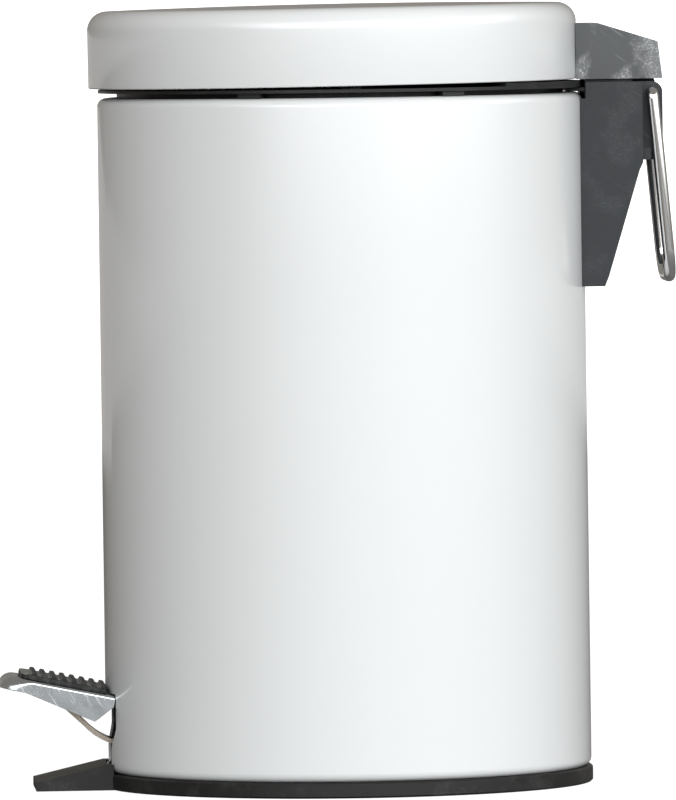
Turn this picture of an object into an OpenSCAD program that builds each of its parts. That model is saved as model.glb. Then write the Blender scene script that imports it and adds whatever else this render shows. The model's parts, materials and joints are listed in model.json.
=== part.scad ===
// Pedal bin: steel shell and lid, lift-out bucket, pedal, push rod, hinge bracket and carry loop.
// Frame: +Z up, the pedal at -Y, the hinge at +Y, origin on the floor at the shell's centre.

/* [Shell] */
// Outer diameter of the shell
body_d = 162; // [150:1:200]
// Height of the shell's top edge above the floor
body_top = 229.8; // [200:0.1:290]
// Sheet thickness of the shell
shell_wall = 0.8; // [0.6:0.1:1.2]
// Radius of the rolled edges at the top and bottom
edge_r = 3; // [2:0.25:4]

/* [Lid] */
// Overhang of the lid outside the shell
lid_over = 0.5; // [0.5:0.25:2]
// Height of the lid
lid_h = 26.6; // [22:0.2:34]
// Sheet thickness of the lid
lid_wall = 0.8; // [0.6:0.1:1.2]
// Radius of the lid's upper corner
lid_corner_r = 6.5; // [4:0.5:9]
// Rise of the lid's crown
lid_crown = 0.9; // [0.3:0.1:2]
// How far the lid sits forward of the shell's axis
lid_forward = 2.2; // [0:0.1:3]
// Backward tilt of the closed lid in degrees
lid_tilt = 0.45; // [0:0.05:0.6]
// Gap between the shell's edge and the lid's front edge
lid_gap = 3.1; // [2.8:0.1:5]
// Height of the lid's folded hem
hem_h = 2.5; // [1.5:0.5:4]

/* [Base] */
// Height of the base ring
base_h = 5.2; // [4:0.1:8]
// Overhang of the base ring outside the shell
base_over = 0.5; // [0.2:0.1:2]
// Thickness of the base's floor
floor_t = 2; // [1.5:0.5:3]
// Thickness of the spigot inside the shell
spigot_t = 2; // [1.5:0.5:3]
// Height of the spigot above the base ring
spigot_h = 5; // [3:0.5:7]
// Reach of the foot beyond the shell
foot_reach = 24; // [15:0.5:32]
// Width of the foot
foot_w = 36; // [26:1:46]
// Height of the foot's tip
foot_tip_h = 3; // [2:0.25:3.5]
// Height of the foot where it meets the shell
foot_root_h = 8.5; // [6:0.25:8.75]

/* [Pedal] */
// Width of the pedal
pedal_w = 38; // [32:1:42]
// Length of the pedal's flat
pedal_l = 33.8; // [30:0.2:38]
// Slope of the pedal in degrees
pedal_slope = 11.7; // [8:0.1:13]
// Height of the pedal's rear edge
pedal_rear_z = 31.25; // [30:0.25:33]
// Sheet thickness of the pedal
pedal_t = 1.2; // [1:0.1:1.5]
// Radius of the turned-down front lip
lip_r = 4.4; // [3:0.2:5]
// Depth of the side skirts at their deepest
skirt_d = 9.6; // [7:0.2:10]
// Thickness of the pad under its ribs
pad_t = 1.8; // [1:0.1:2.4]
// Height of the pad's ribs
rib_h = 1; // [0.8:0.1:2]
// Number of ribs on the pad
rib_count = 8; // [5:1:9]
// Distance from rib to rib
rib_pitch = 3.36; // [2.8:0.02:3.5]

/* [Lever] */
// Width of the lever
lever_w = 16; // [12:1:18]
// Sheet thickness of the lever
lever_t = 1.5; // [1.2:0.1:2]
// Distance from the shell's front to the lever's pivot
pivot_in = 33; // [28:0.5:40]
// Height of the lever's pivot
pivot_z = 18; // [17:0.25:19]
// Diameter of the pivot pin
pivot_d = 4; // [3:0.25:4.5]

/* [Push rod] */
// Diameter of the push rod
rod_d = 3; // [2.5:0.25:3.5]
// Distance from the shell's outside in to the rod
rod_in = 4.6; // [4.4:0.1:5]
// Distance from the shell's outside out to the rod's upper stretch
rod_out = 5.3; // [5:0.1:5.6]
// Height of the rod's guide above the floor
guide_z = 103.4; // [60:0.2:120]

/* [Hinge] */
// Distance from the shell's outside to the hinge axis
hinge_out = 22.2; // [20.5:0.1:24]
// Length of the lid's crank
crank_r = 18.7; // [17.5:0.1:19.5]
// Diameter of the hinge pin
hinge_pin_d = 3; // [2.5:0.25:3.5]
// Half the angle that the lid opens
half_open = 36; // [30:1:38]
// Width of the bracket
bracket_w = 38; // [36:1:44]
// Width of the bracket's rear web
web_w = 29; // [28:0.5:32]
// Height of the bracket
bracket_h = 67.9; // [64:0.1:74]
// Width of the hinge cover
cover_w = 28.4; // [26:0.2:31]
// Height of the hinge cover
cover_h = 18.6; // [17.5:0.1:21]
// Wall of the hinge cover
cover_wall = 1.8; // [1.2:0.1:2.2]

/* [Carry loop] */
// Wire diameter of the carry loop
loop_wire_d = 4; // [3:0.25:4.5]
// Distance from the hinge axis to the loop's far bar
loop_l = 61.7; // [50:0.1:76]
// Lean of the hanging loop in degrees
loop_lean = 5.1; // [3:0.1:8]

/* [Bucket] */
// Inset of the bucket's flange from the shell's outside
flange_in = 0.3; // [0:0.1:1]
// Thickness of the bucket's flange
flange_t = 1.1; // [0.8:0.1:1.2]
// Wall of the bucket
bucket_wall = 1.3; // [1:0.1:2]
// Taper of the bucket, from its mouth's radius to its floor's
bucket_taper = 8.5; // [5:0.5:14]
// Height of the bucket's underside
bucket_z = 41; // [40.5:0.5:55]
// Wire diameter of the bucket's bail
bail_d = 2.4; // [2:0.1:2.6]

/* [Hidden] */

$fn = 64;
// Radial clearance of a piece that turns or slides on another
run_gap = 0.06;
// Clearance of a fixed piece beside another
seat_gap = 0.15;
// Clearance of a moving piece past another
pass_gap = 0.6;
// Extra length by which a cut passes a face
cut = 1;

body_r = body_d / 2;
shell_in_r = body_r - shell_wall;
lip_in_r = body_r - edge_r - 0.6;
lid_r = body_r + lid_over;
lid_z = body_top + lid_gap;
flange_r = body_r - flange_in;
flange_top = lid_z - 0.4;
flange_z = flange_top - flange_t;

hinge_y = body_r + hinge_out;
hinge_z = body_top - 0.3;
hinge_pin_r = hinge_pin_d / 2;
bracket_top = body_top + 3.2;
bracket_bottom = bracket_top - bracket_h;
bracket_round = 3.5;
bracket_wall = 2.2;
web_r = hinge_out + bracket_round;
// Bracket's profile: depth at its toe, the toe's corner, the knee above it and the shoulder under the web
toe_out = 5.5;
toe_cut = [1.4, 3.5];
knee = [17.5, 38.5];
shoulder_z = bracket_bottom + 41.9;
shoulder_out = 19.1;
// Depth at which the loop's side pockets start
pocket_out = 18.7;
// Width of the hook over the shell's rolled edge, and its clearance above and below
hook_w = 28;
hook_gap = 0.2;
// Length of the tongues that stand up inside the cover, and their height above the bracket
tongue_l = 16;
tongue_h = 2.5;
// Height of the notch that clears the shell's rolled edge
notch_h = 5.4;
// Moulding pockets: distance from the screws, and depth at the bottom and at the top
core_margin = 6;
core_deep = [7.5, 12];
cheek_x = 9.5;
pin_half = cheek_x + 1.4;

rod_r = rod_d / 2;
rod_y = body_r - rod_in;
rod_top_y = body_r + rod_out;
rod_stroke = 2 * crank_r * sin(half_open);
crank_nose_r = 2;
crank_half_w = 3.5;
nose_y = hinge_y - crank_r * cos(half_open);
nose_z = hinge_z - crank_r * sin(half_open);
cap_r = 2.9;
cap_h = 5;
// Free play between the cap and the crank at rest
crank_play = 0.8;
cap_top = nose_z - crank_nose_r - crank_play;
rod_tip = cap_top - 1.4;
jog_z = cap_top - 43.7;
jog_turn = 45;
jog_rise = (rod_in + rod_out) / tan(jog_turn);
bush_z = cap_top - cap_h - 2.9;
bush_t = 2.4;

pivot_y = -body_r + pivot_in;
pivot_r = pivot_d / 2;
lever_top = 15.3;
// Lever's neck: radius, slope at its top in degrees, and the place inside the shell where it levels out
neck_r = 22;
neck_slope = 48;
neck_in = 8.6;
// Rear end of the lever's tab in the pedal's frame
tab_rear = -23.8;
// Height of the lever's flanges above its top, and half the height of their bosses
flange_h = 2.4;
boss_r = 4;
foot_play = 0.4;
rod_foot_r = 2.6;
lug_x = 9.5;
lug_t = 3.5;
clip_t = 1.2;

pedal_rear_y = -body_r + 2.8;
// Gap between the pad and the shell at rest
pad_gap = 0.4;
rivet_r = 1.5;
rivet_x = 4.5;
rivet_y = -27.7;
slot_top = pedal_rear_z + 0.8;
slot_half_w = pedal_w / 2 + 1.6;
slot_low_half_w = lever_w / 2 + 6;
slot_low = lever_top - lever_t - 5.8;
slot_wide_h = 11;
slot_taper_h = 6.5;

loop_r = loop_wire_d / 2;
loop_x = web_w / 2 + 0.3 + loop_r;
loop_end_bend = loop_r + 0.25;
loop_corner = 9;

screw_r = 1.5;
screw_x = 14.2;
screw_z = [bracket_bottom + 10.9, bracket_bottom + 49];
screw_head_r = 2.8;
screw_head_h = 2;
washer_t = 0.8;
washer_r = 3.4;
washer_y = sqrt(shell_in_r * shell_in_r - pow(screw_x + washer_r, 2)) - seat_gap;
screw_reach = 5.8;

mouth_r = lip_in_r - 2.9;
bail_r = bail_d / 2;
bail_z = flange_top + bail_r + 0.3;
bail_x = mouth_r + 1.9;
lug_y_half = 3;
// Place of the flange's rests on the shell, in degrees from the X axis
rest_angle = 25;
// Raised land on the flange under the lid's rear rim: half its angle, width, inset and gap to the rim
land_angle = 50;
land_w = 4;
land_in = 0.4;
land_gap = 0.35;
land_h = lid_r * (1 + cos(land_angle)) * sin(lid_tilt) + lid_z - flange_top - land_gap;

arm_half_w = 9;
knuckle_r = 3.2;
plate_t = 2;
// Gap under the hinge cover, and the fall of its top towards the rear
cover_gap = 1.1;
cover_fall = 6.3;
plate_low = 3.5;
plate_high = 15.5;
clip_rib_h = plate_high - plate_low;

steel = [0.72, 0.72, 0.7];
chrome = [0.85, 0.85, 0.86];
black = [0.13, 0.13, 0.14];
charcoal = [0.27, 0.28, 0.29];
enamel = [0.93, 0.93, 0.91];

// Points of an arc around c, from angle a to angle b
function arc(c, r, a, b, n = 8) =
    [for (i = [0:n]) c + r * [cos(a + (b - a) * i / n), sin(a + (b - a) * i / n)]];

// Unit direction from p to q
function heading(p, q) = (q - p) / norm(q - p);

// Corner of a line of points moved sideways by t, mitred where the line turns
function shifted(line, i, t) =
    let (a = heading(line[max(i - 1, 0)], line[max(i, 1)]),
         b = heading(line[min(i, len(line) - 2)], line[min(i + 1, len(line) - 1)]),
         side = [-a[1] - b[1], a[0] + b[0]])
    line[i] + side * t * 2 / (side * side);

// Bent sheet of thickness t along a line of points in the YZ plane, w wide across X
module sheet(line, t, w) {
    last = len(line) - 1;
    across(w) polygon(concat(line, [for (i = [last:-1:0]) shifted(line, i, t)]));
}

// YZ outline made w wide, centred across X
module across(w) {
    rotate([90, 0, 90]) translate([0, 0, -w / 2]) linear_extrude(w) children();
}

// Round bar along X, centred
module x_bar(r, l) {
    rotate([0, 90, 0]) cylinder(r = r, h = l, center = true);
}

// Round bar along Y from the origin
module y_bar(r, l) {
    rotate([-90, 0, 0]) cylinder(r = r, h = l);
}

// Both sides of the object
module both_sides() {
    children();
    mirror([1, 0, 0]) children();
}

// Bend of a wire around Z, of centre-line radius bend, from +X through angle a
module wire_bend(bend, r, a) {
    rotate_extrude(angle = a) translate([bend, 0]) circle(r = r);
}

// ---- fixed frame ----

module base() {
    ring_r = body_r + base_over;
    spigot_r = lip_in_r - seat_gap;
    foot_y = -body_r - foot_reach;
    color(black) {
        difference() {
            union() {
                rotate_extrude($fn = 128) polygon([
                    [0, 0], [ring_r - 0.6, 0], [ring_r, 0.6], [ring_r, base_h - 0.5],
                    [ring_r - 0.5, base_h], [spigot_r, base_h], [spigot_r, base_h + spigot_h],
                    [spigot_r - spigot_t, base_h + spigot_h], [spigot_r - spigot_t, floor_t],
                    [0, floor_t]]);
                difference() {
                    across(foot_w) polygon([[foot_y, 0], [foot_y, foot_tip_h],
                        [-body_r - base_over, foot_root_h], [-body_r + 9, foot_root_h],
                        [-body_r + 9, 0]]);
                    translate([0, 0, base_h])
                        cylinder(r = body_r + seat_gap, h = foot_root_h, $fn = 128);
                    cylinder(r = body_r - 4, h = foot_root_h, $fn = 128);
                }
                both_sides() pivot_lug();
            }
            for (y = [-body_r, body_r - edge_r - 7])
                translate([-lever_w / 2 - 2, y, base_h + 0.3]) cube([lever_w + 4, edge_r + 7, spigot_h]);
            translate([0, pivot_y, pivot_z]) x_bar(pivot_r, 2 * (lug_x + lug_t) + cut);
        }
    }
}

// Lug that carries one end of the pivot pin
module pivot_lug() {
    translate([lug_x + lug_t / 2, pivot_y, 0]) {
        across(lug_t) polygon(concat([[10, floor_t / 2], [4.5, pivot_z]],
            arc([0, pivot_z], 4.5, 10, 170), [[-4.5, pivot_z], [-10, floor_t / 2]]));
    }
}

module outer_shell() {
    top_c = [body_r - edge_r, body_top - edge_r];
    low_c = [body_r - edge_r, base_h + edge_r];
    inner = edge_r - shell_wall;
    color(enamel) difference() {
        rotate_extrude($fn = 128) polygon(concat(
            [[lip_in_r, base_h]], arc(low_c, edge_r, -90, 0), arc(top_c, edge_r, 0, 90),
            [[lip_in_r, body_top], [lip_in_r, body_top - shell_wall]],
            arc(top_c, inner, 90, 0), arc(low_c, inner, 0, -90),
            [[lip_in_r, base_h + shell_wall]]));
        translate([0, -body_r + 20, 0]) rotate([90, 0, 0]) linear_extrude(30) front_slot();
        for (z = screw_z)
            both_sides() translate([screw_x, body_r - 12, z]) y_bar(screw_r + 0.3, 20);
        translate([-rod_r - pass_gap, body_r - 10, jog_z])
            cube([rod_d + 2 * pass_gap, 20, jog_rise / 2 + 4 + rod_stroke + rod_d]);
    }
}

// Slot for the pedal: wide at the top, narrow where the lever drops
module front_slot() {
    shoulder = pedal_rear_z - slot_wide_h;
    neck = shoulder - slot_taper_h;
    polygon([[-slot_half_w, slot_top], [-slot_half_w, shoulder], [-slot_low_half_w, neck],
        [-slot_low_half_w, slot_low], [slot_low_half_w, slot_low], [slot_low_half_w, neck],
        [slot_half_w, shoulder], [slot_half_w, slot_top]]);
}

// Side outline of the bracket, drawn to just inside the shell
module bracket_outline() {
    inside = body_r - 6;
    polygon(concat(
        [[inside, bracket_bottom], [body_r + toe_out, bracket_bottom],
         [body_r + toe_out + toe_cut.x, bracket_bottom + toe_cut.y],
         [body_r + knee.x, bracket_bottom + knee.y],
         [body_r + shoulder_out, shoulder_z], [body_r + web_r, shoulder_z]],
        arc([hinge_y, hinge_z], bracket_round, 0, 90),
        [[inside, bracket_top]]));
}

// Space for the push rod and the crank, open to the shell and at the top
module bracket_channel() {
    low = jog_z - 2 * rod_r;
    rear = body_r + web_r - bracket_wall;
    across(2 * cheek_x) polygon([
        [body_r - cut, low], [body_r + toe_out, low],
        [body_r + knee.x - bracket_wall, bracket_bottom + knee.y],
        [body_r + shoulder_out - bracket_wall, shoulder_z + bracket_wall],
        [rear, shoulder_z + bracket_wall], [rear, hinge_z - knuckle_r - cut],
        [body_r + web_r + cut, hinge_z - knuckle_r - cut],
        [body_r + web_r + cut, bracket_top + cut], [body_r - cut, bracket_top + cut]]);
}

module rear_bracket() {
    color(charcoal) union() {
        bracket_body();
        translate([-hook_w / 2, lip_in_r - 2, body_top + hook_gap])
            cube([hook_w, body_r + 3 - lip_in_r, flange_z - body_top - 2 * hook_gap]);
        both_sides() translate([arm_half_w + pass_gap, body_r, bracket_top - 1])
            cube([cover_w / 2 - cover_wall - arm_half_w - 2 * pass_gap, tongue_l, tongue_h + 1]);
    }
}

module bracket_body() {
    pocket_y = body_r + pocket_out;
    pocket_w = (bracket_w - web_w) / 2 + cut;
    difference() {
        union() {
            difference() {
                across(bracket_w) bracket_outline();
                bracket_channel();
                both_sides() translate([web_w / 2, pocket_y, bracket_bottom - cut])
                    cube([pocket_w, web_r, bracket_h + 2 * cut]);
                both_sides() core_pocket();
            }
            translate([0, body_r - 1, bush_z + bush_t / 2]) bush_plate();
            both_sides() loop_rest(pocket_y);
        }
        translate([0, 0, bracket_bottom - cut]) cylinder(r = body_r, h = bracket_h + 2 * cut, $fn = 128);
        translate([-bracket_w, body_r - bracket_h - 0.2, bracket_top - notch_h])
            cube([2 * bracket_w, bracket_h, bracket_h]);
        translate([0, hinge_y, hinge_z]) {
            x_bar(hinge_pin_r, 2 * pin_half + 2 * cut);
            both_sides() translate([pin_half + 0.3, 0, 0]) rotate([0, 90, 0])
                cylinder(r = loop_r + run_gap, h = web_w);
        }
        for (z = screw_z)
            both_sides() translate([screw_x, washer_y, z])
                y_bar(screw_r, screw_reach + body_r - washer_y + 0.5);
        translate([0, rod_top_y, bush_z - cut]) cylinder(r = rod_r + run_gap, h = bush_t + 2 * cut);
    }
}

// Moulding pocket beside the channel, open to the shell and hidden by it
module core_pocket() {
    near = cheek_x + bracket_wall;
    far = bracket_w / 2 - bracket_wall;
    low = screw_z[0] + core_margin;
    high = screw_z[1] - core_margin;
    translate([(near + far) / 2, 0, 0]) across(far - near) polygon([
        [body_r - 8, low], [body_r + core_deep.x, low], [body_r + core_deep.y, high], [body_r - 8, high]]);
}

// Bush plate that guides the rod's upper stretch
module bush_plate() {
    translate([-cheek_x - 0.5, 0, -bush_t / 2]) cube([2 * cheek_x + 1, rod_out + 6, bush_t]);
}

// Stop on which the hanging loop rests
module loop_rest(pocket_y) {
    rest_h = 4;
    reach = hinge_out + (hinge_z - shoulder_z - rest_h) * tan(loop_lean) - loop_r / cos(loop_lean) - 0.3;
    translate([web_w / 2 - 1, pocket_y - 1, shoulder_z])
        cube([loop_r + 1.4, body_r + reach - pocket_y + 1, rest_h]);
}

module bracket_screws() {
    color(steel) for (z = screw_z)
        both_sides() translate([screw_x, washer_y - washer_t, z]) {
            y_bar(screw_r, screw_reach + body_r - washer_y + washer_t);
            translate([0, -screw_head_h, 0]) y_bar(screw_head_r, screw_head_h);
        }
}

module bracket_washers() {
    color(steel) for (z = screw_z)
        both_sides() translate([screw_x, washer_y - washer_t, z]) difference() {
            y_bar(washer_r, washer_t);
            translate([0, -cut, 0]) y_bar(screw_r + 0.1, washer_t + 2 * cut);
        }
}

module hinge_pin() {
    color(steel) translate([0, hinge_y, hinge_z]) x_bar(hinge_pin_r, 2 * pin_half);
}

module pivot_pin() {
    color(steel) translate([0, pivot_y, pivot_z]) x_bar(pivot_r, 2 * (lug_x + lug_t + clip_t + 0.6));
}

module pin_clips() {
    color(steel) translate([0, pivot_y, pivot_z])
        both_sides() translate([lug_x + lug_t, 0, 0]) rotate([0, 90, 0]) difference() {
            cylinder(r = pivot_r + 2, h = clip_t);
            translate([0, 0, -cut]) cylinder(r = pivot_r, h = clip_t + 2 * cut);
        }
}

module rod_guide() {
    guide_h = 9;
    guide_w = 14;
    color(black) translate([0, 0, guide_z]) difference() {
        intersection() {
            translate([-guide_w / 2, rod_y - rod_r - 1.4, 0]) cube([guide_w, 20, guide_h]);
            cylinder(r = shell_in_r, h = guide_h, $fn = 128);
        }
        translate([0, rod_y, -cut]) cylinder(r = rod_r + run_gap, h = guide_h + 2 * cut);
    }
}

module inner_bucket() {
    foot_r = mouth_r - bucket_taper;
    color(black) difference() {
        union() {
            rotate_extrude($fn = 128) polygon([
                [0, bucket_z], [foot_r - 2, bucket_z], [foot_r, bucket_z + 2], [mouth_r, flange_z],
                [flange_r, flange_z], [flange_r, flange_top],
                [mouth_r - bucket_wall, flange_top], [foot_r - bucket_wall, bucket_z + bucket_wall + 1],
                [0, bucket_z + bucket_wall]]);
            for (a = [-rest_angle, rest_angle, 180 - rest_angle, 180 + rest_angle])
                rotate([0, 0, a]) translate([lip_in_r - 0.6, -4, body_top])
                    cube([edge_r - 0.4, 8, flange_z - body_top + flange_t / 2]);
            rotate([0, 0, 90 - land_angle]) rotate_extrude(angle = 2 * land_angle, $fn = 128)
                translate([flange_r - land_in - land_w, flange_z]) square([land_w, flange_t + land_h]);
            both_sides() translate([mouth_r - bucket_wall, -lug_y_half, flange_top - flange_t / 2])
                cube([bucket_wall + 0.3, 2 * lug_y_half, flange_t / 2 + 2 * bail_r + 1.8]);
        }
        translate([0, 0, bail_z]) x_bar(bail_r + run_gap, 2 * mouth_r + 4);
    }
}

// Wire bail lying on the flange's front half
module bucket_bail() {
    span = bail_x - mouth_r + bucket_wall + 0.4;
    color(steel) translate([0, 0, bail_z]) {
        rotate([0, 0, 180]) wire_bend(bail_x, bail_r, 180);
        both_sides() {
            translate([bail_x, 0, 0]) sphere(r = bail_r);
            translate([bail_x - span, 0, 0]) rotate([0, 90, 0]) cylinder(r = bail_r, h = span);
        }
    }
}

// ---- pedal ----

// Pedal frame: origin at the plate's rear top edge, -Y forward along its slope
module on_pedal() {
    translate([0, pedal_rear_y, pedal_rear_z]) rotate([-pedal_slope, 0, 0]) children();
}

// Plan of the pedal with rounded front corners
module pedal_plan(w, front, corner_r) {
    polygon(concat([[-w / 2, 0]], arc([-w / 2 + corner_r, -front + corner_r], corner_r, 180, 270),
        arc([w / 2 - corner_r, -front + corner_r], corner_r, 270, 360), [[w / 2, 0]]));
}

module pedal_plate() {
    reach = pedal_l + lip_r;
    lip_line = concat([[0, 0]], arc([-pedal_l, -lip_r], lip_r, 90, 180, 10));
    color(steel) on_pedal() difference() {
        union() {
            intersection() {
                sheet(lip_line, pedal_t, pedal_w);
                translate([0, 0, -2 * lip_r]) linear_extrude(3 * lip_r) pedal_plan(pedal_w, reach, 6);
            }
            both_sides() translate([pedal_w / 2 - pedal_t / 2, 0, 0]) across(pedal_t) polygon([
                [0, -pedal_t / 2], [0, -3.6], [-5.2, -skirt_d], [-pedal_l + 3, -4.2],
                [-pedal_l + 3, -pedal_t / 2]]);
        }
        for (x = [-rivet_x, rivet_x])
            translate([x, rivet_y, -pedal_t - cut]) cylinder(r = rivet_r, h = pedal_t + 2 * cut);
    }
}

module pedal_pad() {
    pad_w = pedal_w - 2.4;
    pad_rear = (body_r + pedal_rear_y + pad_gap) / cos(pedal_slope);
    front = pedal_l - 1.6;
    first_rib = 4.3;
    color(black) on_pedal() {
        linear_extrude(pad_t) difference() {
            pedal_plan(pad_w, front, 5);
            translate([-pad_w, -pad_rear]) square([2 * pad_w, pad_rear + cut]);
        }
        for (i = [0:rib_count - 1])
            translate([0, -first_rib - i * rib_pitch, pad_t])
                across(pad_w - 2) polygon([[-1, -0.2], [1, -0.2], [1, 0], [0.7, rib_h], [-0.7, rib_h],
                    [-1, 0]]);
    }
}

// Lever: a tab under the plate, a curved neck through the slot, and a long arm with side flanges.
// The line is its underside; the tab's points lie in the pedal's frame.
module pedal_lever() {
    c = cos(pedal_slope);
    s = sin(pedal_slope);
    under = pedal_t + lever_t;
    tab = [for (y = [-pedal_l + 1.6, tab_rear])
        [pedal_rear_y + y * c - under * s, pedal_rear_z - y * s - under * c]];
    low = lever_top - lever_t;
    neck_end = -body_r + neck_in;
    line = concat(tab, arc([neck_end, low + neck_r], neck_r, -90 - neck_slope, -90),
        [[body_r - 2.7, low]]);
    flange_low = low + lever_t / 2;
    flange_top = lever_top + flange_h;
    boss_top = pivot_z + boss_r;
    color(steel) difference() {
        union() {
            sheet(line, lever_t, lever_w);
            both_sides() translate([(lever_w - lever_t) / 2, 0, 0]) across(lever_t) polygon([
                [neck_end, flange_low], [neck_end, lever_top + 1], [pivot_y - 10, flange_top],
                [pivot_y - 5, boss_top], [pivot_y + 5, boss_top], [pivot_y + 12, flange_top],
                [body_r - 27, flange_top], [body_r - 22, flange_low]]);
        }
        translate([0, pivot_y, pivot_z]) x_bar(pivot_r + run_gap, lever_w + 2 * cut);
        on_pedal() for (x = [-rivet_x, rivet_x])
            translate([x, rivet_y, -under - cut]) cylinder(r = rivet_r, h = under + 2 * cut);
    }
}

module pedal_rivets() {
    under = pedal_t + lever_t;
    color(steel) on_pedal() for (x = [-rivet_x, rivet_x])
        translate([x, rivet_y, -under]) {
            cylinder(r = rivet_r, h = under);
            translate([0, 0, -1]) cylinder(r = rivet_r + 1.2, h = 1);
        }
}

// ---- push rod ----

module push_rod() {
    foot_end = lever_top + foot_play + 2.2;
    elbow_r = rod_r + 0.1;
    color(steel) {
        translate([0, rod_y, foot_end]) cylinder(r = rod_r, h = jog_z - foot_end);
        translate([0, rod_y, jog_z]) {
            sphere(r = elbow_r);
            rotate([-jog_turn, 0, 0]) cylinder(r = rod_r, h = jog_rise / cos(jog_turn));
        }
        translate([0, rod_top_y, jog_z + jog_rise]) {
            sphere(r = elbow_r);
            cylinder(r = rod_r, h = rod_tip - jog_z - jog_rise);
        }
    }
}

module rod_foot() {
    low = lever_top + foot_play;
    color(black) translate([0, rod_y, low]) difference() {
        union() {
            translate([0, 0, rod_foot_r]) sphere(r = rod_foot_r);
            translate([0, 0, rod_foot_r]) cylinder(r = rod_foot_r, h = 5);
        }
        translate([0, 0, 2.2]) cylinder(r = rod_r, h = 10);
    }
}

module rod_cap() {
    color(black) translate([0, rod_top_y, cap_top - cap_h]) difference() {
        cylinder(r = cap_r, h = cap_h);
        translate([0, 0, -cut]) cylinder(r = rod_r, h = cap_h - 1.4 + cut);
    }
}

// ---- lid ----

// Place of the closed lid: forward of the axis and tilted about its front edge
module on_lid() {
    translate([0, -lid_forward - lid_r, lid_z]) rotate([lid_tilt, 0, 0]) translate([0, lid_r, 0])
        children();
}

// Half section of the lid's outside, moved in by t
function lid_line(t) =
    let (flat_r = lid_r - lid_corner_r, corner = [flat_r, lid_h - lid_crown - lid_corner_r])
    concat([[lid_r - t, 0]], arc(corner, lid_corner_r - t, 0, 90),
        [for (i = [6:-1:0]) [flat_r * i / 7, lid_h - t - lid_crown * pow(i / 7, 2)]]);

module lid_shell() {
    inside = lid_line(lid_wall);
    last = len(inside) - 1;
    color(enamel) difference() {
        on_lid() rotate_extrude($fn = 128) polygon(concat(lid_line(0),
            [for (i = [last:-1:1]) inside[i]],
            [[lid_r - lid_wall, hem_h], [lid_r - 2 * lid_wall, hem_h], [lid_r - 2 * lid_wall, 0]]));
        arm_fixings(rivet_r);
    }
}

// Heights of the two rivets that hold the arm to the lid
module arm_fixings(r) {
    for (z = [lid_z + plate_low + 3.4, lid_z + plate_high - 2.6])
        translate([0, -lid_forward + lid_r - 4, z]) y_bar(r, 12);
}

module hinge_arm() {
    rel_y = lid_r - lid_forward;
    color(black) difference() {
        union() {
            intersection() {
                on_lid() difference() {
                    cylinder(r = lid_r + plate_t, h = lid_h, $fn = 128);
                    translate([0, 0, -cut]) cylinder(r = lid_r + 0.02, h = lid_h + 2 * cut, $fn = 128);
                }
                translate([-arm_half_w, 0, lid_z + plate_low])
                    cube([2 * arm_half_w, body_d, plate_high - plate_low]);
            }
            across(2 * crank_half_w) polygon([
                [rel_y + 1, lid_z + plate_low], [hinge_y - 2.5, hinge_z + 1], [hinge_y + 2.3, hinge_z + 2],
                [hinge_y + 1, hinge_z + 6], [rel_y + 6, lid_z + plate_high - 4.5],
                [rel_y + 1, lid_z + plate_high - 4.5]]);
            across(2 * crank_half_w) polygon([
                [hinge_y - 1.3, hinge_z + 2], [nose_y - 1.1, nose_z + 1.3], [nose_y + 0.6, nose_z - 0.8],
                [hinge_y + 1.3, hinge_z - 2]]);
            translate([0, nose_y, nose_z]) x_bar(crank_nose_r, 2 * crank_half_w);
            translate([0, hinge_y, hinge_z]) x_bar(knuckle_r, 2 * arm_half_w);
        }
        translate([0, hinge_y, hinge_z]) x_bar(hinge_pin_r + run_gap, 2 * arm_half_w + 2 * cut);
        arm_fixings(rivet_r);
    }
}

module arm_rivets() {
    color(steel) for (z = [lid_z + plate_low + 3.4, lid_z + plate_high - 2.6])
        translate([0, -lid_forward + lid_r, z]) {
            translate([0, -lid_wall - 0.1, 0]) y_bar(rivet_r, plate_t + lid_wall + 0.1);
            translate([0, -lid_wall - 1.1, 0]) y_bar(rivet_r + 1.2, 1);
        }
}

// Side outline of the cover: level at the front, falling to the rear
module cover_outline(wall) {
    low = lid_z + cover_gap;
    top = low + cover_h;
    open_low = wall > 0 ? low - cut : low;
    front = body_r - 12;
    level_end = body_r + 4.5 - wall / 4;
    rear_top = body_r + hinge_out + 2.2 - wall;
    rear_low = body_r + hinge_out + 3.6 - wall;
    polygon([[front, open_low], [front, top - wall], [level_end, top - wall],
        [rear_top, top - cover_fall - wall * 0.8], [rear_low, open_low]]);
}

// Its two inner ribs grip the sides of the arm's plate
module hinge_cover() {
    color(charcoal) difference() {
        across(cover_w) cover_outline(0);
        difference() {
            across(cover_w - 2 * cover_wall) cover_outline(cover_wall);
            both_sides() translate([arm_half_w, 0, lid_z + plate_low])
                cube([cover_w, body_r + 4, clip_rib_h]);
        }
        on_lid() translate([0, 0, -cut]) cylinder(r = lid_r + 0.02, h = lid_h, $fn = 128);
        on_lid() cylinder(r = lid_r - lid_corner_r, h = 2 * lid_h);
    }
}

// ---- carry loop ----

module carry_loop() {
    leg = loop_l - loop_end_bend - loop_corner;
    end_l = loop_x - loop_end_bend - pin_half - 0.5;
    bar_half = loop_x - loop_corner;
    color(chrome) translate([0, hinge_y, hinge_z]) rotate([loop_lean, 0, 0]) {
        both_sides() {
            translate([loop_x - loop_end_bend - end_l, 0, 0]) rotate([0, 90, 0])
                cylinder(r = loop_r, h = end_l);
            translate([loop_x - loop_end_bend, 0, -loop_end_bend]) rotate([90, 0, 0])
                wire_bend(loop_end_bend, loop_r, 90);
            translate([loop_x, 0, -loop_end_bend - leg]) cylinder(r = loop_r, h = leg);
            translate([bar_half, 0, -loop_l + loop_corner]) rotate([90, 0, 0])
                wire_bend(loop_corner, loop_r, -90);
        }
        translate([0, 0, -loop_l]) x_bar(loop_r, 2 * bar_half);
    }
}

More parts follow.
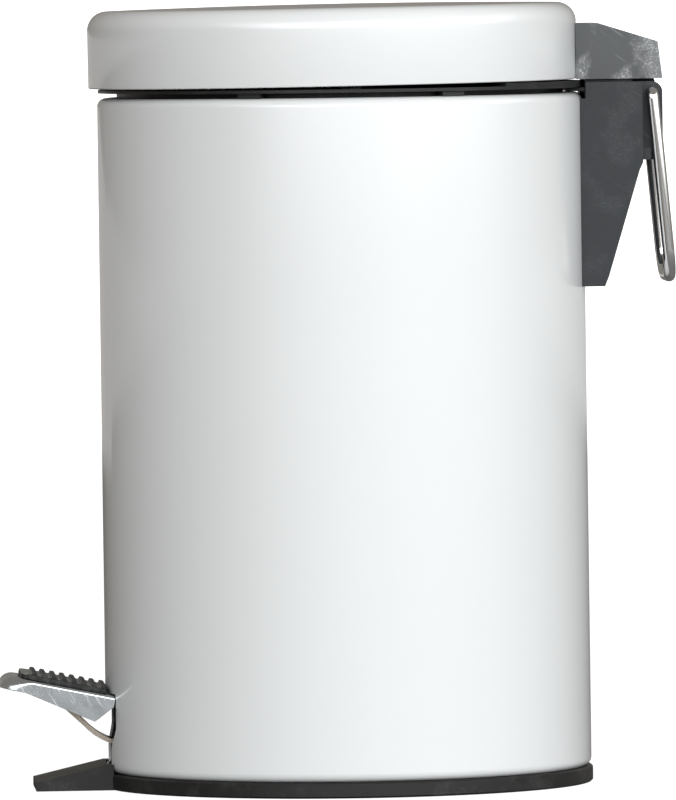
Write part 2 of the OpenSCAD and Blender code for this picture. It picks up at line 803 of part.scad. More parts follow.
base();
outer_shell();
rear_bracket();
bracket_screws();
bracket_washers();
hinge_pin();
pivot_pin();
pin_clips();
rod_guide();
inner_bucket();
bucket_bail();
pedal_plate();
pedal_pad();
pedal_lever();
pedal_rivets();
push_rod();
rod_foot();
rod_cap();
lid_shell();
hinge_arm();
arm_rivets();
hinge_cover();
carry_loop();
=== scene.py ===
import json
import math
import bmesh
import bpy
from mathutils import Matrix, Quaternion, Vector


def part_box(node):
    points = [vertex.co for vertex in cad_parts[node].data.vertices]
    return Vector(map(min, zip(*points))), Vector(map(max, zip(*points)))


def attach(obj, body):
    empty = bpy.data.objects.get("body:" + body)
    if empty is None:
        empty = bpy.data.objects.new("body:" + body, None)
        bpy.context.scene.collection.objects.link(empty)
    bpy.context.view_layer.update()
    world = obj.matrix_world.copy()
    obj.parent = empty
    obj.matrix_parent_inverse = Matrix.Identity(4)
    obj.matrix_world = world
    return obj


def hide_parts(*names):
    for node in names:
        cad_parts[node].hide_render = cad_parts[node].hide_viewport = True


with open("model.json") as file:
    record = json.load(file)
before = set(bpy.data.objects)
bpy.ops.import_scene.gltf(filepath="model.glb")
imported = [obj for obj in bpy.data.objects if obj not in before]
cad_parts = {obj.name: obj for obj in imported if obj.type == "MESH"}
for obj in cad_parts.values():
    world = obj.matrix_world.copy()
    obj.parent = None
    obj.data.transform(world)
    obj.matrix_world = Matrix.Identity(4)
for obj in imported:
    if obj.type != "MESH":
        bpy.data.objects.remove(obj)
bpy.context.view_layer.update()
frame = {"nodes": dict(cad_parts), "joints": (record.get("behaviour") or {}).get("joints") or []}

# ---------------------------------------------------------------- base and pivot pin
# The base is one black plastic moulding: a ring that the shell stands on, a floor and a wedge
# foot that runs out under the pedal. Two lugs inside it carry the lever's steel pin.

MM = 0.001
nodes = frame["nodes"]


def grow(tree, kind, settings, values, output=0):
    """Adds a node to a tree: its type, its settings, then the values or links of its sockets."""
    node = tree.nodes.new(kind)
    for name, value in settings.items():
        setattr(node, name, value)
    for name, value in values.items():
        if isinstance(value, Link):
            value = value.socket
        if isinstance(value, bpy.types.NodeSocket):
            tree.links.new(value, node.inputs[name])
        else:
            node.inputs[name].default_value = value
    return node.outputs[output]


class Link:
    """An output socket of a shader tree; arithmetic on it adds Math nodes."""

    def __init__(self, tree, socket):
        self.tree = tree
        self.socket = socket

    def maths(self, operation, first, second):
        sum_of = grow(self.tree, "ShaderNodeMath", {"operation": operation}, {0: first, 1: second})
        return Link(self.tree, sum_of)

    def __add__(self, other):
        return self.maths("ADD", self, other)

    def __sub__(self, other):
        return self.maths("SUBTRACT", self, other)

    def __rsub__(self, other):
        return self.maths("SUBTRACT", other, self)

    def __mul__(self, other):
        return self.maths("MULTIPLY", self, other)

    __radd__ = __add__
    __rmul__ = __mul__

    def __abs__(self):
        return self.maths("ABSOLUTE", self, 0.0)

    def above(self, low, high):
        """0 below low, 1 above high, smooth between."""
        step = grow(self.tree, "ShaderNodeMapRange", {"interpolation_type": "SMOOTHSTEP"},
                    {"Value": self, "From Min": low, "From Max": high})
        return Link(self.tree, step)


class Finish:
    """One surface finish on a Principled shader. The sizes in its patterns are in metres."""

    def __init__(self, name, slot, roughness, metallic=0.0, coat=0.0):
        self.material = bpy.data.materials.new(name)
        self.material.use_nodes = True
        self.tree = self.material.node_tree
        self.shader = self.tree.nodes["Principled BSDF"]
        self.slot = slot
        self.feed("Roughness", roughness)
        self.feed("Metallic", metallic)
        self.feed("Coat Weight", coat)
        self.place = self.node("ShaderNodeTexCoord", {}, {}, "Object")

    def feed(self, name, value):
        """Sets or links one of the shader's sockets."""
        if isinstance(value, Link):
            self.tree.links.new(value.socket, self.shader.inputs[name])
        else:
            self.shader.inputs[name].default_value = value

    def node(self, kind, settings, values, output=0):
        return Link(self.tree, grow(self.tree, kind, settings, values, output))

    def drawn_out(self, scale, turn=(0, 0, 0)):
        """The piece's own coordinates, turned and then squeezed for a streaky pattern."""
        turned = self.node("ShaderNodeMapping", {}, {"Vector": self.place, "Rotation": turn})
        return self.node("ShaderNodeMapping", {}, {"Vector": turned, "Scale": scale})

    def noise(self, size, detail=2.0, place=None):
        """Noise from 0 to 1 whose lumps are about size across."""
        return self.node("ShaderNodeTexNoise", {}, {"Vector": place or self.place, "Scale": 1.0 / size,
                                                    "Detail": detail})

    def mix(self, factor, first, second):
        """The first colour where the factor is 0, the second where it is 1."""
        colours = [(*c, 1.0) if isinstance(c, tuple) else c for c in (first, second)]
        return self.node("ShaderNodeMix", {"data_type": "RGBA"}, {0: factor, 6: colours[0], 7: colours[1]}, 2)

    def bump(self, height, depth, strength=1.0):
        """Raises the surface by height times depth."""
        self.feed("Normal", self.node("ShaderNodeBump", {}, {"Height": height, "Distance": depth,
                                                             "Strength": strength}))

    def cover(self, piece):
        """Puts the finish all over a piece, or over a node that stays as it is."""
        piece.data.materials.clear()
        piece.data.materials.append(self.material)


def moulded(name, slot, colour, scuff_and_sheen, scuffing_and_sheen, roughness, grain_size=0.45 * MM, streaks=0.3):
    """Moulded plastic: a spark-eroded grain, cloudy sheen, and paler patches: wear rubbed in handling, which
    on the hinge cover is also a painted sheen.
    """
    finish = Finish(name, slot, roughness)
    grain = finish.noise(grain_size, 3.0)
    cloud = finish.noise(9 * MM, 4.0)
    patches = finish.noise(11 * MM, 3.0).above(0.5, 0.68)
    flecks = finish.noise(0.7 * MM, 4.0).above(0.5, 0.68)
    streak = finish.noise(1.5 * MM, 3.0, finish.drawn_out((1, 0.08, 1), (0.6, 0, 0))).above(0.64, 0.74)
    # Paler patches and streaks: wear, plus painted sheen where the scuffing is strong, as on the hinge cover.
    wear_and_sheen = (patches * (flecks * 0.7 + 0.3) + streak * streaks) * scuffing_and_sheen
    finish.feed("Base Color", finish.mix(wear_and_sheen, colour, scuff_and_sheen))
    finish.feed("Specular IOR Level", 0.3)
    finish.feed("Roughness", cloud * 0.2 + grain * 0.06 + (roughness - 0.13))
    finish.bump(grain + cloud * 0.4, 0.06 * MM, 0.5)
    return finish


def piece_from(name, shape):
    """A new piece from a bmesh."""
    mesh = bpy.data.meshes.new(name)
    shape.to_mesh(mesh)
    shape.free()
    piece = bpy.data.objects.new(name, mesh)
    bpy.context.scene.collection.objects.link(piece)
    return piece


def copy_of(node, name):
    """A new piece with the shape of a node, its triangles merged and its flat faces joined."""
    shape = bmesh.new()
    shape.from_mesh(nodes[node].data)
    bmesh.ops.remove_doubles(shape, verts=shape.verts, dist=0.002 * MM)
    bmesh.ops.dissolve_limit(shape, angle_limit=math.radians(1.0), verts=shape.verts, edges=shape.edges)
    return piece_from(name, shape)


def settle(piece):
    """Turns a piece with live modifiers into a plain mesh."""
    mesh = bpy.data.meshes.new_from_object(piece.evaluated_get(bpy.context.evaluated_depsgraph_get()))
    piece.modifiers.clear()
    piece.data = mesh


def ease_edges(piece, width, angle=32, segments=3):
    """Rounds a piece's sharp edges, as its mould or press leaves them."""
    bevel = piece.modifiers.new("eased edges", "BEVEL")
    bevel.width = width
    bevel.segments = segments
    bevel.limit_method = "ANGLE"
    bevel.angle_limit = math.radians(angle)
    bevel.use_clamp_overlap = True
    piece.modifiers.new("flat faces stay flat", "WEIGHTED_NORMAL").keep_sharp = True
    piece.data.shade_smooth()
    settle(piece)


black_plastic = moulded("black moulded plastic", "black_plastic", (0.016, 0.0155, 0.015),
                        (0.11, 0.11, 0.11), 0.35, 0.4)
base = copy_of("base", "base_moulding")
ease_edges(base, 0.4 * MM)
black_plastic.cover(base)
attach(base, "frame")
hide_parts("base")


def plated(name, slot, colour, roughness):
    """Bright plated steel: press-drawing lines, crossing scratches and cloudy patches."""
    finish = Finish(name, slot, roughness, metallic=1.0)
    drawn = finish.noise(0.5 * MM, 3.0, finish.drawn_out((1, 0.06, 1)))
    crossing = finish.noise(0.8 * MM, 3.0, finish.drawn_out((1, 0.08, 1), (0.95, 0, 0)))
    cloud = finish.noise(5 * MM, 4.0)
    scratches = crossing.above(0.58, 0.66)
    dull = tuple(0.8 * c for c in colour)
    finish.feed("Base Color", finish.mix(cloud.above(0.35, 0.7) * 0.6 + scratches * 0.4, colour, dull))
    finish.feed("Roughness", cloud * 0.2 + scratches * 0.12 + (roughness - 0.1))
    finish.bump(drawn * 0.5 + crossing + cloud, 0.02 * MM, 0.5)
    return finish


bright_steel = plated("plated steel", "plated_steel", (0.78, 0.8, 0.82), 0.26)
for node in ("pivot_pin", "pin_clips"):
    bright_steel.cover(nodes[node])

# ---------------------------------------------------------------- outer shell
# Rolled and welded steel sheet, stoved in white enamel. Its top and bottom edges are rolled in,
# and the slot for the pedal is punched through the front.


def enamel(name):
    """White enamel: a gloss coat over faint orange peel and a slight wave in the sheet."""
    white = (0.83, 0.845, 0.85)
    finish = Finish(name, "white_enamel", 0.3, coat=1.0)
    finish.feed("Coat Roughness", 0.05)
    peel = finish.noise(1.6 * MM, 2.0)
    wave = finish.noise(24 * MM, 2.0)
    finish.feed("Base Color", (*white, 1))
    finish.bump(peel + wave * 2.0, 0.012 * MM, 0.6)
    return finish


def arc(centre, radius, start, end, steps=10):
    """Points of an arc in a half section, its angles in degrees."""
    angles = [math.radians(start + (end - start) * i / steps) for i in range(steps + 1)]
    return [(centre[0] + radius * math.cos(a), centre[1] + radius * math.sin(a)) for a in angles]


def revolve(name, section, steps=256, placed=Matrix()):
    """A closed half section of (radius, height) points turned about Z, closed on the axis."""
    shape = bmesh.new()
    rings = []
    for radius, height in section:
        count = steps if radius > 1e-7 else 1
        rings.append([shape.verts.new((radius * math.cos(math.tau * i / steps),
                                       radius * math.sin(math.tau * i / steps), height))
                      for i in range(count)])
    for low, high in zip(rings, rings[1:] + rings[:1]):
        for i in range(steps):
            corners = [low[i % len(low)], low[(i + 1) % len(low)],
                       high[(i + 1) % len(high)], high[i % len(high)]]
            corners = list(dict.fromkeys(corners))
            if len(corners) > 2:
                shape.faces.new(corners)
    bmesh.ops.recalc_face_normals(shape, faces=shape.faces)
    shape.transform(placed)
    return piece_from(name, shape)


def smooth_but(piece, angle):
    """Smooth shading, broken at edges sharper than the angle in degrees."""
    piece.data.shade_smooth()
    piece.data.set_sharp_from_angle(angle=math.radians(angle))


def rounded(outline, radius, steps=5):
    """A flat outline with its corners rounded."""
    points = []
    for i, corner in enumerate(outline):
        here = Vector(corner)
        before = Vector(outline[i - 1]) - here
        after = Vector(outline[(i + 1) % len(outline)]) - here
        reach = min(radius, before.length / 2.1, after.length / 2.1)
        start = here + before.normalized() * reach
        end = here + after.normalized() * reach
        for k in range(steps + 1):
            t = k / steps
            points.append(tuple(start.lerp(here, t).lerp(here.lerp(end, t), t)))
    return points


def prism(name, outline, near, far, turn=Matrix()):
    """A flat outline carried along Z from near to far, then turned into place."""
    shape = bmesh.new()
    low, high = ([shape.verts.new((x, y, z)) for x, y in outline] for z in (near, far))
    shape.faces.new(low)
    shape.faces.new(high)
    for i in range(len(outline)):
        j = (i + 1) % len(outline)
        shape.faces.new((low[i], low[j], high[j], high[i]))
    shape.transform(turn)
    bmesh.ops.recalc_face_normals(shape, faces=shape.faces)
    return piece_from(name, shape)


along_y = Matrix(((1, 0, 0, 0), (0, 0, 1, 0), (0, 1, 0, 0), (0, 0, 0, 1)))


def punch(piece, outline, near, far, turn=along_y):
    """Cuts an outline through a piece from near to far, along Y unless turned otherwise."""
    tool = prism("punch", outline, near, far, turn)
    cut = piece.modifiers.new("punched hole", "BOOLEAN")
    cut.operation = "DIFFERENCE"
    cut.solver = "EXACT"
    cut.object = tool
    settle(piece)
    bpy.data.objects.remove(tool)


shell_low, shell_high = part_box("outer_shell")
shell_r, shell_bottom, shell_top = shell_high.y, shell_low.z, shell_high.z
sheet = 0.8 * MM
curl_r = 3 * MM
curl_in = shell_r - curl_r - 0.6 * MM
top_curl = (shell_r - curl_r, shell_top - curl_r)
low_curl = (shell_r - curl_r, shell_bottom + curl_r)
shell = revolve("outer_shell_enamelled", (
    [(curl_in, shell_bottom)] + arc(low_curl, curl_r, -90, 0) + arc(top_curl, curl_r, 0, 90)
    + [(curl_in, shell_top), (curl_in, shell_top - sheet)] + arc(top_curl, curl_r - sheet, 90, 0)
    + arc(low_curl, curl_r - sheet, 0, -90) + [(curl_in, shell_bottom + sheet)]))

plate_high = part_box("pedal_plate")[1]
slot_half, neck_half = plate_high.x + 1.6 * MM, 14 * MM
slot_top, slot_shoulder, slot_neck, slot_low = 32.05 * MM, 20.25 * MM, 13.75 * MM, 8 * MM
slot_outline = [(slot_half, slot_top), (-slot_half, slot_top), (-slot_half, slot_shoulder),
                (-neck_half, slot_neck), (-neck_half, slot_low), (neck_half, slot_low),
                (neck_half, slot_neck), (slot_half, slot_shoulder)]
punch(shell, rounded(slot_outline, 1.2 * MM), -shell_r - 9 * MM, -shell_r + 20 * MM)

window_half, window_low, window_high = 2.1 * MM, 172 * MM, 205.9 * MM
rod_window = [(-window_half, window_low), (window_half, window_low), (window_half, window_high),
              (-window_half, window_high)]
punch(shell, rounded(rod_window, 1 * MM), shell_r - 10 * MM, shell_r + 9 * MM)
smooth_but(shell, 40)
white_enamel = enamel("white enamel")
white_enamel.cover(shell)
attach(shell, "frame")
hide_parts("outer_shell")

# ---------------------------------------------------------------- rear bracket
# A charcoal plastic moulding screwed to the shell from inside. Its two cheeks hold the hinge pin,
# and its side pockets take the ends of the carry loop.

charcoal = moulded("charcoal bracket plastic", "charcoal_plastic", (0.031, 0.034, 0.038),
                   (0.12, 0.125, 0.13), 0.3, 0.45, 0.6 * MM, 0.5)
bracket = copy_of("rear_bracket", "rear_bracket_moulding")
ease_edges(bracket, 0.5 * MM)
charcoal.cover(bracket)
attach(bracket, "frame")
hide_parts("rear_bracket")

for node in ("bracket_screws", "bracket_washers", "hinge_pin"):
    bright_steel.cover(nodes[node])
black_plastic.cover(nodes["rod_guide"])

# ---------------------------------------------------------------- bucket and bail
# The lift-out bucket is a black plastic moulding whose flange rests on the shell's rolled edge.
# Its wire bail lies on the flange, its ends sprung into two lugs.

bucket_plastic = moulded("black bucket plastic", "bucket_plastic", (0.02, 0.0205, 0.0205),
                         (0.1, 0.1, 0.1), 0.25, 0.36)
bucket = copy_of("inner_bucket", "bucket_moulding")
ease_edges(bucket, 0.25 * MM)
bucket_plastic.cover(bucket)
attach(bucket, "frame")
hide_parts("inner_bucket")


def node_tree(name, inputs):
    """A Geometry Nodes tree with named inputs; returns it with its input and output nodes."""
    tree = bpy.data.node_groups.new(name, "GeometryNodeTree")
    tree.interface.new_socket("Geometry", in_out="INPUT", socket_type="NodeSocketGeometry")
    for label, kind in inputs:
        tree.interface.new_socket(label, in_out="INPUT", socket_type="NodeSocket" + kind)
    tree.interface.new_socket("Geometry", in_out="OUTPUT", socket_type="NodeSocketGeometry")
    return tree, tree.nodes.new("NodeGroupInput"), tree.nodes.new("NodeGroupOutput")


def apply_tree(piece, tree, values):
    """Runs a tree on a piece with its named inputs set, and keeps the result as a plain mesh."""
    modifier = piece.modifiers.new(tree.name, "NODES")
    modifier.node_group = tree
    for item in tree.interface.items_tree:
        if item.in_out == "INPUT" and item.name in values:
            modifier[item.identifier] = values[item.name]
    settle(piece)


def bent_wire_tree():
    """Round wire along a path of straight stretches, each corner bent to its own radius."""
    tree, given, result = node_tree("bent wire", [("Wire radius", "Float"), ("Material", "Material")])
    path = grow(tree, "GeometryNodeMeshToCurve", {}, {"Mesh": given.outputs["Geometry"]})
    bend = grow(tree, "GeometryNodeInputNamedAttribute", {"data_type": "FLOAT"}, {"Name": "bend"})
    path = grow(tree, "GeometryNodeFilletCurve", {"mode": "POLY"},
                {"Curve": path, "Count": 12, "Radius": bend})
    ring = grow(tree, "GeometryNodeCurvePrimitiveCircle", {},
                {"Resolution": 32, "Radius": given.outputs["Wire radius"]})
    wire = grow(tree, "GeometryNodeCurveToMesh", {},
                {"Curve": path, "Profile Curve": ring, "Fill Caps": True})
    wire = grow(tree, "GeometryNodeRealizeInstances", {}, {"Geometry": wire})
    wire = grow(tree, "GeometryNodeSetMaterial", {},
                {"Geometry": wire, "Material": given.outputs["Material"]})
    tree.links.new(wire, result.inputs[0])
    return tree


bent_wire = bent_wire_tree()


def wire_piece(name, corners, wire_r, finish):
    """A bent wire through corners, each given as a point and its bend radius."""
    mesh = bpy.data.meshes.new(name)
    mesh.from_pydata([point for point, bend in corners], [(i, i + 1) for i in range(len(corners) - 1)], [])
    mesh.attributes.new("bend", "FLOAT", "POINT").data.foreach_set("value", [bend for point, bend in corners])
    piece = bpy.data.objects.new(name, mesh)
    bpy.context.scene.collection.objects.link(piece)
    apply_tree(piece, bent_wire, {"Wire radius": wire_r, "Material": finish.material})
    smooth_but(piece, 40)
    finish.cover(piece)
    return piece


bail_low, bail_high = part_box("bucket_bail")
bail_wire_r = (bail_high.z - bail_low.z) / 2
bail_r = bail_high.x - bail_wire_r
bail_z = bail_high.z - bail_wire_r
bail_end = bail_r - 3.6 * MM
half_turn = [math.pi * i / 60 for i in range(1, 60)]
bail_path = ([((bail_end, 0, bail_z), 0.0), ((bail_r, 0, bail_z), 1.3 * MM)]
             + [((bail_r * math.cos(a), -bail_r * math.sin(a), bail_z), 0.0) for a in half_turn]
             + [((-bail_r, 0, bail_z), 1.3 * MM), ((-bail_end, 0, bail_z), 0.0)])
bail = wire_piece("bucket_bail_wire", bail_path, bail_wire_r, bright_steel)
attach(bail, "bail")
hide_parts("bucket_bail")

# ---------------------------------------------------------------- pedal
# A plated steel lever runs through the slot. A pressed plate with side skirts and a curled lip
# is riveted on its tab, and a ribbed rubber pad is bonded on the plate.

lever = copy_of("pedal_lever", "pedal_lever_pressing")
ease_edges(lever, 0.3 * MM)
# The lever is the same plated steel as the other plated parts; its darker brown colour is painted shade and
# painted reflection.
shaded_lever_steel = plated("plated lever steel with painted brown shade", "plated_steel", (0.56, 0.49, 0.42), 0.22)
shaded_lever_steel.cover(lever)
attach(lever, "pedal")
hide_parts("pedal_lever")

slope, pedal_rear_z = math.radians(11.7), 31.25 * MM
pedal_place = Matrix.Translation((0, plate_high.y, pedal_rear_z)) @ Matrix.Rotation(-slope, 4, "X")
plate_half, plate_front, plate_corner, plate_t = 19 * MM, -38.2 * MM, 6 * MM, 1.2 * MM
corner_x, corner_y = plate_half - plate_corner, plate_front + plate_corner
skirt_rear, skirt_deep, skirt_front, deep_at, taper = 3.6 * MM, 9.6 * MM, 4.45 * MM, -5.2 * MM, 5.4 / 25.6
side_curl, front_curl, curl_from, curl_over = 1.2 * MM, 4.4 * MM, -27.2 * MM, 9 * MM


def plate_edge():
    """Round the plate's edge from the rear left to the rear right: plan place and outward direction."""
    side = [(Vector((plate_half, corner_y * i / 64)), Vector((1, 0))) for i in range(64)]
    turn = [Vector((math.cos(a), math.sin(a))) for a in (-math.pi / 2 * i / 16 for i in range(17))]
    corner = [(Vector((corner_x, corner_y)) + plate_corner * out, out) for out in turn]
    front = [(Vector((corner_x * (1 - i / 8), plate_front)), Vector((0, -1))) for i in range(1, 9)]
    right = side + corner + front
    left = [(Vector((-place.x, place.y)), Vector((-out.x, out.y))) for place, out in right[:-1]]
    return left + right[::-1]


def skirt(y):
    """Depth of the plate's skirt at a place along the pedal: short, deepest near the rear, then tapering."""
    rising = skirt_rear + (skirt_deep - skirt_rear) * y / deep_at
    tapering = skirt_deep + (y - deep_at) * taper
    return min(rising, max(tapering, skirt_front))


def pressed_plate(name):
    """A sheet with its edge turned down: tightly at the sides, in a wide curl at the front."""
    shape = bmesh.new()
    rings = []
    for place, out in plate_edge():
        t = min(max((curl_from - place.y) / curl_over, 0), 1)
        outer = side_curl + (front_curl - side_curl) * t * t * (3 - 2 * t)
        inner = max(outer - plate_t, 0.15 * MM)
        depth = skirt(place.y)
        line = arc((-outer, -outer), outer, 90, 0, 8) + [(0, -depth), (-plate_t, -depth)]
        line += arc((-plate_t - inner, -plate_t - inner), inner, 0, 90, 8)
        rings.append([shape.verts.new((*(place + out * inward), height)) for inward, height in line])
    for ring, after in zip(rings, rings[1:]):
        for i in range(len(ring) - 1):
            shape.faces.new((ring[i], ring[i + 1], after[i + 1], after[i]))
    shape.faces.new([ring[0] for ring in rings])
    shape.faces.new([ring[-1] for ring in rings])
    shape.faces.new((rings[0][0], rings[-1][0], rings[-1][-1], rings[0][-1]))
    shape.faces.new(rings[0])
    shape.faces.new(rings[-1])
    bmesh.ops.recalc_face_normals(shape, faces=shape.faces)
    shape.transform(pedal_place)
    return piece_from(name, shape)


plate = pressed_plate("pedal_plate_pressing")
rivet_x, rivet_y, rivet_r = 4.5 * MM, -27.7 * MM, 1.5 * MM
for x in (-rivet_x, rivet_x):
    punch(plate, arc((x, rivet_y), rivet_r, 0, 352.5, 47), -3 * MM, 1 * MM, pedal_place)
ease_edges(plate, 0.25 * MM, 50)
plate_steel = plated("bright pressed steel", "plated_steel", (0.72, 0.76, 0.79), 0.17)
plate_steel.cover(plate)
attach(plate, "pedal")
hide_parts("pedal_plate")


def row_tree():
    """A seed piece set out in a straight row and joined to the piece that carries the tree."""
    tree, given, result = node_tree("straight row", [("Seed", "Object"), ("Count", "Int"),
                                                     ("First", "Vector"), ("Step", "Vector"),
                                                     ("Material", "Material")])
    take = given.outputs
    line = grow(tree, "GeometryNodeMeshLine", {"mode": "OFFSET"}, {"Count": take["Count"],
                                                                   "Start Location": take["First"],
                                                                   "Offset": take["Step"]})
    seed = grow(tree, "GeometryNodeObjectInfo", {}, {"Object": take["Seed"]}, "Geometry")
    row = grow(tree, "GeometryNodeInstanceOnPoints", {}, {"Points": line, "Instance": seed})
    both = tree.nodes.new("GeometryNodeJoinGeometry")
    tree.links.new(take["Geometry"], both.inputs[0])
    tree.links.new(row, both.inputs[0])
    whole = grow(tree, "GeometryNodeRealizeInstances", {}, {"Geometry": both.outputs[0]})
    whole = grow(tree, "GeometryNodeSetMaterial", {}, {"Geometry": whole, "Material": take["Material"]})
    tree.links.new(whole, result.inputs[0])
    return tree


straight_row = row_tree()


def add_row(piece, seed, count, first, step, finish):
    """Joins a row of copies of a seed piece to a piece, and drops the seed."""
    apply_tree(piece, straight_row, {"Seed": seed, "Count": count, "First": first, "Step": step,
                                     "Material": finish.material})
    bpy.data.objects.remove(seed)


def rubber():
    """Dusty black rubber: fine grain, a dull sheen, and a pale colour on the valley floors between the ribs
    that is painted sheen of grazing reflection, flecked with dust.
    """
    finish = Finish("ribbed pad rubber", "pad_rubber", 0.5)
    grain = finish.noise(0.5 * MM, 3.0)
    dust = finish.noise(3 * MM, 4.0).above(0.42, 0.7)
    away = (0, math.sin(slope), math.cos(slope))
    off_plate = finish.node("ShaderNodeVectorMath", {"operation": "DOT_PRODUCT"}, {0: finish.place, 1: away},
                            "Value") - pedal_place.translation @ Vector(away)
    low_on_ribs = off_plate.above(pad_t - 0.5 * MM, pad_t - 0.1 * MM)
    low_on_ribs = low_on_ribs * (1 - off_plate.above(pad_t + 0.5 * MM, pad_t + 0.9 * MM))
    sideways = finish.node("ShaderNodeSeparateXYZ", {}, {"Vector": finish.place}, "X")
    # Painted highlight: the valley floors between the ribs are painted pale for their grazing sheen, varied a
    # little by dust.
    valley_sheen_and_dust = low_on_ribs * (1 - abs(sideways).above(16.2 * MM, 16.7 * MM)) * (dust * 0.35 + 0.65)
    plain = finish.mix(dust * 0.5, (0.022, 0.022, 0.022), (0.1, 0.1, 0.1))
    finish.feed("Base Color", finish.mix(valley_sheen_and_dust, plain, (0.36, 0.36, 0.35)))
    finish.feed("Specular IOR Level", 0.25)
    finish.feed("Roughness", dust * 0.15 + grain * 0.08 + 0.38)
    finish.bump(grain, 0.05 * MM, 0.5)
    return finish


pad_half, pad_rear, pad_front, pad_t, pad_corner = 17.8 * MM, -3.27 * MM, -32.2 * MM, 1.8 * MM, 5 * MM
pad_rubber = rubber()
pad_outline = [(pad_half, pad_rear), (-pad_half, pad_rear)]
pad_outline += arc((-pad_half + pad_corner, pad_front + pad_corner), pad_corner, 180, 270, 6)
pad_outline += arc((pad_half - pad_corner, pad_front + pad_corner), pad_corner, 270, 360, 6)
pad = prism("pedal_pad_rubber", pad_outline, 0.02 * MM, pad_t, pedal_place)
ease_edges(pad, 0.4 * MM, 50)

rib_h, rib_l, rib_pitch, rib_count, first_rib = 1 * MM, 33.6 * MM, 3.36 * MM, 8, -4.3 * MM
rib_section = [(-1 * MM, -0.2 * MM), (1 * MM, -0.2 * MM), (0.95 * MM, 0.2 * MM), (0.75 * MM, rib_h),
               (-0.75 * MM, rib_h), (-0.95 * MM, 0.2 * MM)]
across = Matrix(((0, 0, 1, 0), (1, 0, 0, 0), (0, 1, 0, 0), (0, 0, 0, 1)))
turned = pedal_place.to_3x3()
rib = prism("rib", rounded(rib_section, 0.45 * MM, 4), -rib_l / 2, rib_l / 2, turned.to_4x4() @ across)
ease_edges(rib, 0.3 * MM, 50)
add_row(pad, rib, rib_count, pedal_place @ Vector((0, first_rib, pad_t)), turned @ Vector((0, -rib_pitch, 0)),
        pad_rubber)
smooth_but(pad, 40)
pad_rubber.cover(pad)
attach(pad, "pedal")
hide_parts("pedal_pad")

bright_steel.cover(nodes["pedal_rivets"])

# ---------------------------------------------------------------- push rod
# A straight steel rod with one jog carries the lever's push up to the lid's crank. A plastic
# foot rides on the lever and a plastic cap meets the crank.

bright_steel.cover(nodes["push_rod"])
for node in ("rod_foot", "rod_cap"):
    black_plastic.cover(nodes[node])

# ---------------------------------------------------------------- lid and hinge
# The lid is drawn from one steel sheet with a folded hem and enamelled. A black hinge arm is
# riveted to its rear, and a charcoal cover clips over the arm.

lid_low, lid_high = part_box("lid_shell")
lid_r = lid_high.x
lid_h, lid_crown, lid_corner, hem_h, lid_tilt = 26.6 * MM, 0.9 * MM, 6.5 * MM, 2.5 * MM, math.radians(0.45)
flat_r = lid_r - lid_corner


def lid_line(depth):
    """The lid's half section at a depth inside its outer face, from the rim to the axis."""
    corner = (flat_r, lid_h - lid_crown - lid_corner)
    crown = [(flat_r * i / 12, lid_h - depth - lid_crown * (i / 12) ** 2) for i in range(11, -1, -1)]
    return arc(corner, lid_corner - depth, 0, 90, 14) + crown


hem_in = lid_r - 2 * sheet
hem_round = 0.4 * MM
lid_place = (Matrix.Translation((0, lid_low.y, lid_low.z)) @ Matrix.Rotation(lid_tilt, 4, "X")
             @ Matrix.Translation((0, lid_r, 0)))
lid = revolve("lid_enamelled", (
    arc((lid_r - hem_round, hem_round), hem_round, -90, 0, 5) + lid_line(0) + lid_line(sheet)[::-1]
    + [(lid_r - sheet, hem_h)] + arc((hem_in + hem_round, hem_h - hem_round), hem_round, 90, 180, 5)
    + arc((hem_in + hem_round, hem_round), hem_round, 180, 270, 5)), 256, lid_place)
smooth_but(lid, 50)
white_enamel.cover(lid)
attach(lid, "lid")
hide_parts("lid_shell")

arm = copy_of("hinge_arm", "hinge_arm_moulding")
ease_edges(arm, 0.3 * MM)
black_plastic.cover(arm)
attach(arm, "lid")
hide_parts("hinge_arm")
bright_steel.cover(nodes["arm_rivets"])

# The hinge cover is the bracket's charcoal plastic made paler: its lighter base colour and heavy pale
# scuffing are painted sheen, together with some wear and dust.
cover_plastic_sheen_and_wear = moulded("charcoal cover plastic with painted sheen and wear", "charcoal_plastic", (0.1, 0.105, 0.11),
                        (0.5, 0.51, 0.52), 0.85, 0.42, 0.5 * MM, 0.25)
cover = copy_of("hinge_cover", "hinge_cover_moulding")
ease_edges(cover, 0.8 * MM)
cover_plastic_sheen_and_wear.cover(cover)
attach(cover, "lid")
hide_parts("hinge_cover")

# ---------------------------------------------------------------- carry loop
# Chromed steel wire bent to a long loop. Its ends turn in and snap into the bracket's pockets,
# where the loop hangs and swings.


def chrome():
    """Mirror chrome with faint smears and fine wiping marks."""
    finish = Finish("mirror chrome", "chrome_wire", 0.06, metallic=1.0)
    smear = finish.noise(4 * MM, 3.0)
    wiped = finish.noise(0.3 * MM, 2.0, finish.drawn_out((1, 1, 0.05)))
    finish.feed("Base Color", finish.mix(smear * 0.3, (0.9, 0.9, 0.9), (0.72, 0.71, 0.69)))
    finish.feed("Roughness", smear * 0.06 + wiped * 0.03 + 0.02)
    finish.bump(smear * 3.0 + wiped, 0.004 * MM, 0.4)
    return finish


